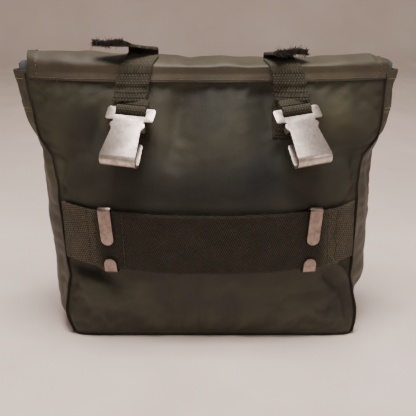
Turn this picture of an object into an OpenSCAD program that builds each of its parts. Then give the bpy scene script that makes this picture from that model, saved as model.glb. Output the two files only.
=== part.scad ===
// Canvas field bag with a lift-over flap, a webbing belt band held by two metal clips,
// and two sheet-metal belt hooks on webbing loops.
// Frame: millimetres, +Z up, the hook side faces -Y, origin under the middle of the base.
// "left" is -X and "right" is +X.

/* [Bag body] */
// Thickness of the coated canvas
canvas_t = 1.6; // [1.2:0.1:1.8]
// Height of the mouth's rim above the base
mouth_z = 228; // [226:1:230]
// Width of the hem facing inside the mouth
facing_w = 20; // [10:1:30]
// Radius of the rolled seam welts
welt_r = 1.1; // [0.8:0.1:1.3]

/* [Flap] */
// Height of the flap's crown above the mouth's rim
crown_h = 8; // [8:0.5:12]
// Height of the flap's free hem above the base
flap_hem_z = 92; // [88:1:100]
// Width of the tape that binds the flap's edges
binding_w = 11; // [8:1:14]

/* [Webbing] */
// Thickness of the webbing
web_t = 1.5; // [1.2:0.1:1.6]
// Width of the narrow webbing
strap_w = 25; // [23:0.5:26]
// Width of the belt band
band_w = 51; // [50:0.5:51.5]
// Height of the belt band's middle above the base
band_z = 95.5; // [94:0.5:97]

/* [Hooks] */
// Thickness of the hook's sheet metal
hook_t = 1.8; // [1.4:0.1:2]
// Clear gap inside the hook
hook_gap = 8.5; // [8:0.1:9]
// Distance of the left hook from the middle
left_hook_x = 63; // [60:1:66]
// Distance of the right hook from the middle
right_hook_x = 69; // [66:1:72]

/* [Belt clips] */
// Distance of each clip from the middle
clip_x = 84; // [80:1:88]
// Width of each clip
clip_w = 11; // [9:0.5:12]

/* [Hidden] */
LEFT = -1;
RIGHT = 1;
gap = 0.4;              // air between layers that lie on each other
$fn = 40;

// The stuffed bag's outer section at a height: half width, half depth and squareness
// of a superellipse, and where the side seam lies as a share of the half width.
HALF_WIDTH = [[0, 125], [6, 128], [12, 132], [24, 140], [45, 144.5], [65, 145], [138, 145],
              [160, 147], [172, 151], [184, 156], [200, 160.5], [228, 162]];
HALF_DEPTH = [[0, 50], [12, 54], [24, 57.5], [45, 62], [65, 63.5], [125, 63.5], [150, 56],
              [175, 46.5], [200, 35], [228, 25]];
SQUARENESS = [[0, 8], [6, 6], [12, 5], [24, 3.6], [45, 2.6], [65, 2.3], [125, 2.3], [160, 2.2],
              [200, 2.1], [228, 2]];
SEAM_SHARE = [[0, 0.985], [12, 0.96], [24, 0.92], [45, 0.88], [65, 0.87], [138, 0.885],
              [160, 0.90], [172, 0.935], [200, 0.945], [228, 0.95]];
LEVELS = [0, 3, 6, 12, 18, 24, 34, 45, 55, 65, 80, 95, 110, 125, 138, 150, 160, 166, 172, 178,
          184, 192, 200, 210, 220, mouth_z];

function across(z, off) = lookup(z, HALF_WIDTH) + off;
function deep(z, off) = lookup(z, HALF_DEPTH) + off;
function square_n(z) = lookup(z, SQUARENESS);
function seam(z) = lookup(z, SEAM_SHARE);
// The other coordinate of the unit superellipse at height z
function partner(c, z) = pow(max(0, 1 - pow(min(1, abs(c)), square_n(z))), 1 / square_n(z));
// A point of the skin, off outside the canvas: facing is -1 on the hook side, +1 on the front
function skin(c, z, off, facing) = [across(z, off) * c, facing * deep(z, off) * partner(c, z), z];
// The same at a distance x from the middle
function skin_at(x, z, off, facing) = skin(x / across(z, off), z, off, facing);
// Turn of the skin's normal away from the Y axis at x, in degrees
function skin_yaw(x, z) =
    let (c = abs(x) / across(z, 0), s = partner(c, z), n = square_n(z))
    sign(x) * atan((pow(c, n - 1) / across(z, 0)) / (pow(s, n - 1) / deep(z, 0)));

function steps(from, to, count) = [for (i = [0 : count]) from + (to - from) * i / count];
// The same from -1 to 1, but closer together towards both ends
function end_steps(count) = [for (t = steps(-1, 1, count)) sin(90 * t)];
function mix(a, b, t) = a + (b - a) * t;
function unit(v) = v / norm(v);

// A closed sheet between two skins. point(u, v, k) gives the inner skin at k = 0 and the
// outer one at k = 1, and the outer side is the one that u cross v points to.
module sheet(us, vs, point, ring = false) {
    cols = len(us);
    rows = len(vs);
    at = function(i, j, k) (k * rows + j) * cols + i % cols;
    last = ring ? cols - 1 : cols - 2;
    points = [for (k = [0, 1], v = vs, u = us) point(u, v, k)];
    skins = [for (j = [0 : rows - 2], i = [0 : last])
        let (a = [i, j], b = [i + 1, j], c = [i + 1, j + 1], d = [i, j + 1])
        each [[at(a.x, a.y, 1), at(d.x, d.y, 1), at(c.x, c.y, 1)],
              [at(a.x, a.y, 1), at(c.x, c.y, 1), at(b.x, b.y, 1)],
              [at(a.x, a.y, 0), at(b.x, b.y, 0), at(c.x, c.y, 0)],
              [at(a.x, a.y, 0), at(c.x, c.y, 0), at(d.x, d.y, 0)]]];
    rims = [for (i = [0 : last])
        each [[at(i, 0, 1), at(i + 1, 0, 1), at(i + 1, 0, 0)],
              [at(i, 0, 1), at(i + 1, 0, 0), at(i, 0, 0)],
              [at(i + 1, rows - 1, 1), at(i, rows - 1, 1), at(i, rows - 1, 0)],
              [at(i + 1, rows - 1, 1), at(i, rows - 1, 0), at(i + 1, rows - 1, 0)]]];
    ends = ring ? [] : [for (j = [0 : rows - 2])
        each [[at(0, j + 1, 1), at(0, j, 1), at(0, j, 0)],
              [at(0, j + 1, 1), at(0, j, 0), at(0, j + 1, 0)],
              [at(cols - 1, j, 1), at(cols - 1, j + 1, 1), at(cols - 1, j + 1, 0)],
              [at(cols - 1, j, 1), at(cols - 1, j + 1, 0), at(cols - 1, j, 0)]]];
    polyhedron(points, concat(skins, rims, ends), convexity = 8);
}

// A round cord along a path, with flat ends, or closed into a ring
module cord(path, r, side, ring = false) {
    n = len(path);
    sides = 8;
    tangent = function(i) ring ? unit(path[(i + 1) % n] - path[(i + n - 1) % n])
        : unit(path[min(n - 1, i + 1)] - path[max(0, i - 1)]);
    points = [for (i = [0 : n - 1])
        let (t = tangent(i), a = unit(cross(t, side)), b = cross(t, a))
        for (k = [0 : sides - 1])
            path[i] + r * (cos(360 * k / sides) * a + sin(360 * k / sides) * b)];
    at = function(i, k) (i % n) * sides + k % sides;
    walls = [for (i = [0 : ring ? n - 1 : n - 2], k = [0 : sides - 1])
        each [[at(i, k), at(i + 1, k), at(i + 1, k + 1)],
              [at(i, k), at(i + 1, k + 1), at(i, k + 1)]]];
    caps = ring ? [] : [[for (k = [0 : sides - 1]) at(0, k)],
                        [for (k = [sides - 1 : -1 : 0]) at(n - 1, k)]];
    polyhedron(points, concat(walls, caps), convexity = 8);
}

// ---- Bag body -------------------------------------------------------------------------------

// The back panel is at facing -1 and the front panel at +1
module wide_panel(facing) {
    color([0.27, 0.25, 0.19])
        sheet(end_steps(24), LEVELS,
              function(u, z, k) skin(-facing * u * seam(z), z, (k - 1) * canvas_t, facing));
}

// A side panel from the back seam round to the front seam
module gusset(side) {
    color([0.30, 0.28, 0.21])
        sheet(steps(-side, side, 12), LEVELS,
              function(u, z, k)
                  let (s = u * partner(seam(z), z), off = (k - 1) * canvas_t)
                  [side * across(z, off) * partner(s, z), deep(z, off) * s, z]);
}

// The floor of the bag fills the walls' inner outline
module base_panel() {
    edge = partner(seam(0), 0);
    wide = [for (u = end_steps(24)) skin(u * seam(0), 0, -canvas_t, -1)];
    right = [for (u = steps(-1, 1, 12))
        [across(0, -canvas_t) * partner(u * edge, 0), deep(0, -canvas_t) * u * edge]];
    half = [for (p = concat(wide, right)) [p.x, p.y]];
    color([0.27, 0.25, 0.19])
        linear_extrude(canvas_t)
            polygon(concat(half, [for (p = half) -p]));
}

// The seam allowance rolled into a welt along a side seam
module seam_welt(side, facing) {
    path = [for (h = LEVELS) if (h > 4) let (z = h - 2) skin(side * seam(z), z, welt_r + gap, facing)];
    color([0.10, 0.09, 0.08])
        cord(path, welt_r, [0, 1, 0]);
}

module base_welt() {
    z = welt_r + 0.1;
    path = [for (a = [0 : 4 : 356])
        let (c = sign(cos(a)) * pow(abs(cos(a)), 2 / square_n(0)),
             s = sign(sin(a)) * pow(abs(sin(a)), 2 / square_n(0)))
        [across(z, welt_r + gap) * c, deep(z, welt_r + gap) * s, z]];
    color([0.10, 0.09, 0.08])
        cord(path, welt_r, [0, 0, 1], ring = true);
}

// The turned-in hem round the mouth, inside the panels
module mouth_facing() {
    color([0.25, 0.24, 0.18])
        sheet([for (a = [0 : 5 : 355]) a], steps(mouth_z - facing_w, mouth_z, 2),
              function(a, z, k)
                  let (off = -canvas_t - 0.6 - (1 - k) * 1.0, n = square_n(z))
                  [across(z, off) * sign(cos(a)) * pow(abs(cos(a)), 2 / n),
                   deep(z, off) * sign(sin(a)) * pow(abs(sin(a)), 2 / n), z],
              ring = true);
}

// The grey lining that stands up folded in each corner of the mouth
module dust_ear(side) {
    ear = [[138, 206], [156, 206], [157, 232], [154, 236], [146, 235], [138, 226]];
    color([0.36, 0.39, 0.40])
        rotate([90, 0, 0])
            linear_extrude(2.4, center = true)
                polygon([for (p = ear) [side * p.x, p.y]]);
}

// ---- Belt band and its clips -------------------------------------------------------------------

band_off = 2.9;                       // from the canvas to the band's back, behind it the clip's plate
clip_t = 1.4;

// The wide webbing across the hook side, sewn into both side seams
module back_band() {
    color([0.22, 0.20, 0.15])
        sheet(steps(-1, 1, 32), steps(band_z - band_w / 2, band_z + band_w / 2, 2),
              function(u, z, k) skin(u * (seam(z) - 0.012), z, band_off + k * web_t, -1));
}

// A plate with one round end, standing up from z = 0 to z = h, flat in XZ
module tongue(w, h, t) {
    rotate([90, 0, 0])
        linear_extrude(t, center = true)
            union() {
                translate([-w / 2, 0]) square([w, h - w / 2 + 0.01]);
                translate([0, h - w / 2]) circle(d = w);
            }
}

// One strip bent round both edges of the band: a plate behind it and two tongues in front
module clip_body() {
    bend_r = 1.7;                     // inner radius of each bend
    lower_edge = band_w / 2 + 0.4;
    front_y = -(2 * bend_r + clip_t);
    translate([-clip_w / 2, -clip_t / 2, -lower_edge])
        cube([clip_w, clip_t, 2 * lower_edge]);
    for (up = [-1, 1])
        translate([-clip_w / 2, front_y / 2, up * lower_edge])
            rotate([0, 90, 0])
                rotate([0, 0, up > 0 ? 180 : 0])
                    linear_extrude(clip_w)
                        difference() {
                            intersection() {
                                circle(r = bend_r + clip_t);
                                translate([-0.05, -10]) square([10, 20]);
                            }
                            circle(r = bend_r);
                        }
    translate([0, front_y, lower_edge])
        rotate([180, 0, 0])
            tongue(clip_w, 29.5, clip_t);
    translate([0, front_y, -lower_edge])
        tongue(clip_w, 10, clip_t);
}

clip_lean = 4.5;

module band_clip(side) {
    seat = skin_at(side * clip_x, band_z, 0.9 + clip_t / 2, -1);
    color([0.75, 0.72, 0.70])
        translate(seat)
            rotate([0, 0, skin_yaw(side * clip_x, band_z)])
                rotate([0, side * clip_lean, 0])
                    clip_body();
}

// ---- Hook straps ------------------------------------------------------------------------------

hook_z = 201;                         // height of the bar that each hook hangs from
hook_off = 9;                         // from the canvas to that bar
hook_pitch = 45;                      // how far the hook stands off the vertical
loop_r = 2.5;                         // inside radius of the webbing loop round the bar

// The two hooks hang a little differently, as the webbing has set
function hook_x(side) = side == LEFT ? -left_hook_x : right_hook_x;
function strap_x(side) = side == LEFT ? -60.5 : 64;
function hook_yaw(side) = side == LEFT ? -14 : 18;
function hook_lean(side) = side == LEFT ? 3 : -5;

// A strip of webbing that lies on the skin between two heights, its offset changing with height
module skin_strap(side, w, z0, z1, off0, off1, t = web_t) {
    color([0.25, 0.23, 0.17])
        sheet(steps(-w / 2, w / 2, 4), steps(z0, z1, 8),
              function(u, z, k)
                  skin_at(strap_x(side) + u, z, mix(off0, off1, (z - z0) / (z1 - z0)) + k * t, -1));
}

module strap_base(side) {
    skin_strap(side, strap_w + 1.5, 180, 203.5, gap, gap);
}

module cover_strap(side) {
    skin_strap(side, strap_w + 1, 207.8, 230, 4.5, 2 * gap + canvas_t);
}

// The place and tilt of a hook: the bar is at the origin, its plate hangs down, -Y is outward
module hook_place(side) {
    translate(skin_at(hook_x(side), hook_z, hook_off, -1))
        rotate([0, 0, hook_yaw(side)])
            rotate([-hook_pitch, 0, 0])
                rotate([0, hook_lean(side), 0])
                    children();
}

// The webbing that turns round the bar, with its two layers meeting above it
module hook_loop(side) {
    rise = 6;
    color([0.25, 0.23, 0.17])
        hook_place(side)
            rotate([0, 90, 0])
                linear_extrude(strap_w, center = true)
                    difference() {
                        union() {
                            circle(r = loop_r + web_t);
                            translate([-rise, -web_t - 0.1]) square([rise, 2 * web_t + 0.2]);
                        }
                        circle(r = loop_r);
                    }
}

// ---- Hooks ------------------------------------------------------------------------------------

bar_h = 4;                            // height of the bar above the slot
slot_h = 3.6;
slot_w = strap_w + 1.6;
ear_w = 41;                           // width over the two ears
ear_bottom = -9.8;
body_top = -18.5;
body_end = -42;
body_half = 15;                       // half width of the body at the bend
bend_out = hook_gap / 2 + hook_t;     // outer radius of the hook's bend

// Points of an arc round c
function arc(c, r, from, to) = [for (a = steps(from, to, 6)) c + r * [cos(a), sin(a)]];

// The plate's outline: ears and bar, neck, shoulder, and the body that widens to the bend
function plate_half() = concat(
    arc([ear_w / 2 - 2.5, bar_h / 2 - 2.5], 2.5, 90, 0),
    arc([ear_w / 2 - 1.8, ear_bottom + 1.8], 1.8, 0, -90),
    [[13.6, ear_bottom], [12.4, ear_bottom - 1.5]],
    arc([12.2, -14.5], 2.6, 60, -60),
    [[12.4, body_top], [body_half, body_end]]);

module plate_outline() {
    half = plate_half();
    n = len(half);
    difference() {
        polygon(concat(half, [for (i = [n - 1 : -1 : 0]) [-half[i].x, half[i].y]]));
        translate([-slot_w / 2, -bar_h / 2 - slot_h]) square([slot_w, slot_h]);
    }
}

// The side guard that closes the hook's mouth, bent back from the shoulder
module guard(side) {
    translate([side * 12.9, 0, -14.6])
        rotate([0, 90, 0])
            linear_extrude(1.5, center = true)
                union() {
                    translate([-3.2, 0]) square([6.4, 3.4]);
                    translate([0, 3.4]) circle(r = 3.2);
                }
}

// The back leg of the hook stands up from the bend and has two round corners
module back_leg() {
    top = 17;
    polygon(concat([[body_half, 0]], arc([body_half - 4, top - 3], 3, 0, 90),
                   arc([4 - body_half, top - 3], 3, 90, 180), [[-body_half, 0]]));
}

module hook_body() {
    rotate([90, 0, 0])
        linear_extrude(hook_t, center = true)
            plate_outline();
    translate([-body_half, (hook_gap + hook_t) / 2, body_end])
        rotate([0, 90, 0])
            linear_extrude(2 * body_half)
                difference() {
                    intersection() {
                        circle(r = bend_out);
                        translate([-0.05, -10]) square([10, 20]);
                    }
                    circle(r = hook_gap / 2);
                }
    translate([0, hook_gap + hook_t, body_end])
        rotate([90, 0, 0])
            linear_extrude(hook_t, center = true)
                back_leg();
    for (side = [LEFT, RIGHT]) guard(side);
}

module hook(side) {
    color([0.78, 0.75, 0.73])
        hook_place(side)
            hook_body();
}

// ---- Flap -------------------------------------------------------------------------------------

flap_off = 3;                         // from the front canvas to the flap's inner face
root_top = 231;

// How far to each side the flap reaches, as a share of the half width
function flap_share(z) = lookup(z, [[flap_hem_z, 0.86], [138, 0.885], [172, 0.925], [200, 0.94],
                                    [228, 0.945]]);

// The strip of the flap below its hinge line, sewn over the back panel's rim
module flap_root() {
    color([0.32, 0.30, 0.23])
        sheet(steps(-1, 1, 28), [221.5, 226, root_top],
              function(u, z, k)
                  skin(u * (flap_share(mouth_z) - 0.008), min(z, mouth_z), gap + k * canvas_t, -1)
                  + [0, 0, max(0, z - mouth_z)]);
}

// A point of the flap: v from 0 to 1 goes over the crown, and from 1 to 2 down the front
function flap_point(u, v, off) =
    let (a = 180 * min(1, v), s = mix(gap, flap_off, min(1, v)) + off,
         z = mix(root_top + 1.5, flap_hem_z, max(0, v - 1)))
    v <= 1
    ? let (p = skin(u * flap_share(mouth_z), mouth_z, s, 1))
        [p.x, -p.y * cos(a), root_top + 1.5 + (crown_h + off) * sin(a)]
    : let (q = min(z, mouth_z), p = skin(u * flap_share(q), q, s, 1)) [p.x, p.y, z];

FLAP_STEPS = concat(steps(0, 1, 12), [for (i = [1 : 12]) 1 + i / 12]);

module flap() {
    color([0.29, 0.27, 0.20])
        sheet(steps(-1, 1, 28), FLAP_STEPS,
              function(u, v, k) flap_point(u, v, k * canvas_t));
}

// Binding tapes lie just outside the flap's canvas
module flap_binding(us, vs) {
    color([0.24, 0.23, 0.17])
        sheet(us, vs, function(u, v, k) flap_point(u, v, canvas_t + gap + k * 0.8));
}

tape = binding_w / 140;               // the tape's width as a share of the flap's half width

module flap_hem() {
    flap_binding(steps(-1, 1, 28), steps(2 - tape, 2, 2));
}

module flap_side_bindings() {
    flap_binding(steps(-1, -1 + tape, 2), [for (v = FLAP_STEPS) if (v > 1 && v < 1.9) v]);
    flap_binding(steps(1 - tape, 1, 2), [for (v = FLAP_STEPS) if (v > 1 && v < 1.9) v]);
}

// A point over the crown at a distance x from the middle: a = 0 is the rear, 90 the top
function crown(x, a, off) =
    let (p = skin_at(x, mouth_z, gap + off, 1))
    [x, -p.y * cos(a), root_top + 1.5 + (crown_h + off) * sin(a)];

// The cut-off end of the hook strap: it is sewn to the crown and turns back over itself.
// v goes from 0 to 1 along the crown, to 2 round the turn and to 3 along the loose end.
module strap_tail(side) {
    left = side == LEFT;
    x0 = left ? -77 : 70;
    skew = left ? -6 : 2;             // how far the loose end drifts sideways
    r = left ? 3.4 : 1;               // inner radius of the turn
    rise = left ? 1.5 : 0.3;
    loose = 26;
    seat = canvas_t + 2 * gap;
    color([0.27, 0.25, 0.18])
        sheet(steps(strap_w / 2, -strap_w / 2, 4), concat(steps(0, 0.8, 4), steps(1, 2, 8), [2.5, 3]),
              function(u, v, k)
                  let (x = x0 + u, top = crown(x, 90, seat + web_t),
                       a = 180 * min(1, max(0, v - 1)), out = max(0, v - 2), q = r + k * web_t)
                  v < 1
                  ? crown(x, mix(15, 90, v), seat + (1 - k) * web_t)
                  : top + [skew * out, q * sin(a) - loose * out, r - q * cos(a) + rise * out]);
}

// ---- Closure ----------------------------------------------------------------------------------

snap_x = 76;
snap_z = 80;
tab_off = flap_off + canvas_t + gap;

// The place of a snap: origin on the canvas, +Z outward
module snap_place(side) {
    translate(skin_at(side * snap_x, snap_z, 0, 1))
        rotate([0, 0, -skin_yaw(side * snap_x, snap_z)])
            rotate([-90, 0, 0])
                children();
}

// The webbing tab sewn to the flap, which carries the snap below the flap's hem
module closure_tab(side) {
    color([0.25, 0.23, 0.17])
        difference() {
            sheet(steps(strap_w / 2, -strap_w / 2, 4), steps(snap_z - 14, 140, 10),
                  function(u, z, k)
                      let (lift = z > flap_hem_z - 4 ? 1.3 : 0.6)
                      skin_at(side * snap_x + u, z, tab_off + lift + k * web_t, 1));
            snap_place(side) cylinder(r = 2.6, h = 20);
        }
}

module snap_cap(side) {
    color([0.20, 0.19, 0.16])
        snap_place(side)
            union() {
                translate([0, 0, tab_off + web_t + 1.5]) cylinder(r1 = 7.5, r2 = 6.3, h = 1.4);
                translate([0, 0, 4.9]) cylinder(r = 2.2, h = tab_off + web_t - 3.1);
            }
}

module snap_socket(side) {
    color([0.45, 0.43, 0.38])
        snap_place(side)
            difference() {
                translate([0, 0, 2.1]) cylinder(r = 6.4, h = 2.6);
                translate([0, 0, 1.5]) cylinder(r = 4.3, h = 2.4);
            }
}

module snap_stud(side) {
    color([0.45, 0.43, 0.38])
        snap_place(side)
            union() {
                translate([0, 0, 0.5]) cylinder(r = 6.4, h = 0.9);
                translate([0, 0, 1.2]) cylinder(r = 2.2, h = 1.4);
                translate([0, 0, 2.2]) cylinder(r = 2.9, h = 1);
            }
}

// ---- Nodes ------------------------------------------------------------------------------------

wide_panel(-1);  // back_panel
wide_panel(1);  // front_panel
gusset(LEFT);  // left_gusset
gusset(RIGHT);  // right_gusset
base_panel();
seam_welt(LEFT, -1);  // left_back_welt
seam_welt(RIGHT, -1);  // right_back_welt
seam_welt(LEFT, 1);  // left_front_welt
seam_welt(RIGHT, 1);  // right_front_welt
base_welt();
mouth_facing();
dust_ear(LEFT);  // left_dust_ear
dust_ear(RIGHT);  // right_dust_ear
flap_root();
back_band();
band_clip(LEFT);  // left_band_clip
band_clip(RIGHT);  // right_band_clip
strap_base(LEFT);  // left_strap_base
strap_base(RIGHT);  // right_strap_base
hook_loop(LEFT);  // left_hook_loop
hook_loop(RIGHT);  // right_hook_loop
cover_strap(LEFT);  // left_cover_strap
cover_strap(RIGHT);  // right_cover_strap
hook(LEFT);  // left_hook
hook(RIGHT);  // right_hook
flap();
flap_hem();
flap_side_bindings();
strap_tail(LEFT);  // left_strap_tail
strap_tail(RIGHT);  // right_strap_tail
closure_tab(LEFT);  // left_closure_tab
closure_tab(RIGHT);  // right_closure_tab
snap_cap(LEFT);  // left_snap_cap
snap_cap(RIGHT);  // right_snap_cap
snap_socket(LEFT);  // left_snap_socket
snap_socket(RIGHT);  // right_snap_socket
snap_stud(LEFT);  // left_snap_stud
snap_stud(RIGHT);  // right_snap_stud
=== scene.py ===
"""A stuffed canvas field bag, seen from the side with its belt hooks and belt band.

Lengths are in millimetres until a mesh is made; +Z is up and the hook side faces -Y.
"""
import math

import bmesh
import bpy
import numpy as np
from mathutils import Euler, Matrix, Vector


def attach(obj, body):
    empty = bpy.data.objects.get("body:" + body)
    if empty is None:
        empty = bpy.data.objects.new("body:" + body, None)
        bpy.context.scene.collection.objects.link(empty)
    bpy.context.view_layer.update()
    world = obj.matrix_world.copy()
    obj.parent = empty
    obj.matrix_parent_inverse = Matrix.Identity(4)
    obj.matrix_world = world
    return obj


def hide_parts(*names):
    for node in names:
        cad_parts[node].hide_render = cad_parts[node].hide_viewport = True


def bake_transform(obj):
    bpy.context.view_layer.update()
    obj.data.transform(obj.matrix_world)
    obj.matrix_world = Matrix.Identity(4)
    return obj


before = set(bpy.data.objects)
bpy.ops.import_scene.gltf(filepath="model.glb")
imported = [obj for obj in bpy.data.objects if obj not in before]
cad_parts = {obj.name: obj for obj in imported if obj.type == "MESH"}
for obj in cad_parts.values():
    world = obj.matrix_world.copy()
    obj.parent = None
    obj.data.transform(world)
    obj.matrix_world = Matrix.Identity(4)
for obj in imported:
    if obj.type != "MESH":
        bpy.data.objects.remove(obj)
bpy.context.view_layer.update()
MM = 0.001

# ---- Camera ----

CAMERA_DISTANCE = 620
CAMERA_ELEVATION = 20
CAMERA_TARGET = (-1.8, 0, 102.5)
LENS_MM = 58.9


def added(name, data):
    """A new object in the scene."""
    thing = bpy.data.objects.new(name, data)
    bpy.context.scene.collection.objects.link(thing)
    return thing


def add_camera():
    data = bpy.data.cameras.new("camera")
    data.lens, data.sensor_width = LENS_MM, 36
    camera = added("camera", data)
    a = math.radians(CAMERA_ELEVATION)
    away = Vector((0, -math.cos(a), math.sin(a))) * CAMERA_DISTANCE
    camera.location = (Vector(CAMERA_TARGET) + away) * MM
    camera.rotation_euler = (math.pi / 2 - a, 0, 0)
    bpy.context.scene.camera = camera


add_camera()

# ---- The bag's outer form, the same as in the CAD model ----

HALF_WIDTH = ((0, 125), (6, 128), (12, 132), (24, 140), (45, 144.5), (65, 145), (138, 145),
              (160, 147), (172, 151), (184, 156), (200, 160.5), (228, 162))
HALF_DEPTH = ((0, 50), (12, 54), (24, 57.5), (45, 62), (65, 63.5), (125, 63.5), (150, 56),
              (175, 46.5), (200, 35), (228, 25))
SQUARENESS = ((0, 15), (6, 11), (12, 7.5), (24, 4.2), (45, 2.6), (65, 2.3), (125, 2.3), (160, 2.2),
              (200, 2.1), (228, 2))
SEAM_SHARE = ((0, 0.985), (12, 0.965), (24, 0.925), (40, 0.88), (54, 0.855), (65, 0.865),
              (138, 0.885), (158, 0.90), (172, 0.948), (200, 0.915), (228, 0.922))
MOUTH_Z = 228
CANVAS = 1.6
BACK, FRONT = -1, 1


def lookup(z, pairs):
    at, value = zip(*pairs)
    return np.interp(z, at, value)


def partner(c, z):
    """The other coordinate of the unit superellipse at height z."""
    n = lookup(z, SQUARENESS)
    return np.maximum(0, 1 - np.minimum(1, np.abs(c)) ** n) ** (1 / n)


def skin_y(x, z, off, facing):
    """How far out the smooth skin is at x and height z, off outside the canvas."""
    wide = lookup(z, HALF_WIDTH) + off
    return facing * (lookup(z, HALF_DEPTH) + off) * partner(x / wide, z)


def on_skin(x, z, off, facing):
    x, z, off = np.broadcast_arrays(np.asarray(x, float), z, off)
    return xyz(x, skin_y(x, z, off, facing), z)


LEAN_AT_BASE, LEAN_OVER_HEIGHT, SLIMMER = 3.0, 5.8, 3.5


def leaning(points):
    """The real bag isn't symmetric: it leans to the left and its lower right side is slimmer."""
    points = np.array(points, float)
    x, z = points[..., 0].copy(), points[..., 2]
    points[..., 0] += LEAN_AT_BASE - LEAN_OVER_HEIGHT * z / 240
    points[..., 0] -= (SLIMMER * ease((x - 92) / 40) * ease((180 - z) / 30)
                       * ease((z + 4) / 30))
    return points


# ---- Mesh helpers ----


def unit(v):
    return v / np.maximum(np.linalg.norm(v, axis=-1, keepdims=True), 1e-9)


def ease(x):
    """Smooth step: 0 below 0, 1 above 1."""
    x = np.clip(x, 0, 1)
    return x * x * (3 - 2 * x)


def xyz(x, y, z):
    """Points from their coordinates."""
    return np.stack(np.broadcast_arrays(x, y, z), axis=-1)


def grid_normals(points):
    across, along = np.gradient(points, axis=1), np.gradient(points, axis=0)
    return unit(np.cross(across, along))


def lengths(points, axis):
    """Distance along a grid from its first row or column, taken down its middle."""
    middle = points[:, points.shape[1] // 2] if axis == 0 else points[points.shape[0] // 2]
    step = np.linalg.norm(np.diff(middle, axis=0), axis=1)
    return np.concatenate([[0], np.cumsum(step)])


def ripple(u, v, size, seed, waves=7):
    """Smooth noise from -1 to 1 with features of about that size, the same on every run."""
    chance = np.random.default_rng(seed)
    total = np.zeros(np.broadcast(u, v).shape)
    for _ in range(waves):
        turn, phase = chance.uniform(0, 2 * math.pi, 2)
        k = 2 * math.pi / (size * chance.uniform(0.7, 1.6))
        total += np.sin(k * (u * math.cos(turn) + v * math.sin(turn)) + phase)
    return total / math.sqrt(waves) / 1.6


def new_mesh(name, points, faces, cloth=None, tone=None, sharp=50):
    """A mesh from points in millimetres. cloth is each point's place on the flat cloth."""
    mesh = bpy.data.meshes.new(name)
    mesh.from_pydata((np.asarray(points) * MM).tolist(), [], faces)
    mesh.validate()
    for label, values in (("cloth", cloth), ("tone", tone)):
        if values is None:
            continue
        values = np.asarray(values, np.float32)
        kind, field = ("FLOAT", "value") if values.ndim == 1 else ("FLOAT_VECTOR", "vector")
        layer = mesh.attributes.new(label, kind, "POINT")
        layer.data.foreach_set(field, values.ravel())
    shape = bmesh.new()
    shape.from_mesh(mesh)
    bmesh.ops.recalc_face_normals(shape, faces=shape.faces)
    shape.to_mesh(mesh)
    shape.free()
    mesh.shade_smooth()
    mesh.set_sharp_from_angle(angle=math.radians(sharp))
    return mesh


def quads(rows, columns, start=0, ring=False):
    last = columns if ring else columns - 1
    j, i = np.meshgrid(np.arange(rows - 1), np.arange(last), indexing="ij")
    k = (i + 1) % columns
    corners = [j * columns + i, j * columns + k, (j + 1) * columns + k, (j + 1) * columns + i]
    return (np.stack(corners, axis=-1).reshape(-1, 4) + start).tolist()


def shell(name, outer, inner, ring=False, cloth=None, tone=None, sharp=50):
    """A closed sheet between two grids of points."""
    rows, columns = outer.shape[:2]
    n = rows * columns
    faces = quads(rows, columns, 0, ring) + [f[::-1] for f in quads(rows, columns, n, ring)]
    last = columns if ring else columns - 1
    rims = [(row + i, row + (i + 1) % columns) for row in (0, n - columns) for i in range(last)]
    faces += [[b, a, a + n, b + n] for a, b in rims]
    if not ring:
        ends = [(k, k + columns) for side in (0, columns - 1)
                for k in range(side, n - columns, columns)]
        faces += [[a, b, b + n, a + n] for a, b in ends]
    if cloth is None:
        u, v = lengths(outer, 1), lengths(outer, 0)
        cloth = xyz(u[None], v[:, None], 0.0)
    flat = np.concatenate([cloth.reshape(-1, 3), cloth.reshape(-1, 3) + (0, 0, 1)])
    shade = np.ones(2 * n) if tone is None else np.concatenate([tone.ravel(), tone.ravel()])
    points = np.concatenate([outer.reshape(-1, 3), inner.reshape(-1, 3)])
    return new_mesh(name, points, faces, flat, shade, sharp)


def tube(path, radius, sides=8, side=(0, 1, 0), ring=False):
    """Points and faces of a round cord along a path; radius may differ from point to point."""
    path = np.asarray(path, float)
    if ring:
        tangent = unit(np.roll(path, -1, axis=0) - np.roll(path, 1, axis=0))
    else:
        tangent = unit(np.gradient(path, axis=0))
    a = unit(np.cross(tangent, np.broadcast_to(side, tangent.shape)))
    b = np.cross(tangent, a)
    turn = np.linspace(0, 2 * math.pi, sides, endpoint=False)[None, :, None]
    radius = np.broadcast_to(radius, len(path))[:, None, None]
    points = path[:, None] + radius * (np.cos(turn) * a[:, None] + np.sin(turn) * b[:, None])
    faces, last = quads(len(path), sides, 0, True), (len(path) - 1) * sides
    if ring:
        faces += [[last + i, last + (i + 1) % sides, (i + 1) % sides, i] for i in range(sides)]
    else:
        faces += [list(range(sides))[::-1], list(range(last, last + sides))]
    return points.reshape(-1, 3), faces


def joined(parts):
    """Several (points, faces) as one."""
    points, faces, start = [], [], 0
    for p, f in parts:
        points.append(p)
        faces += [[i + start for i in face] for face in f]
        start += len(p)
    return np.concatenate(points), faces


def piece(name, mesh, body, slot, replaces=(), look=None):
    """One visible piece that moves with a CAD body. Its look is its slot's, or another given."""
    thing = added(name, mesh)
    mesh.materials.clear()
    mesh.materials.append(LOOKS[look or slot])
    if replaces:
        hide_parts(*replaces)
    if body:
        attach(thing, body)
    return thing


# ---- Materials ----


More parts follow.
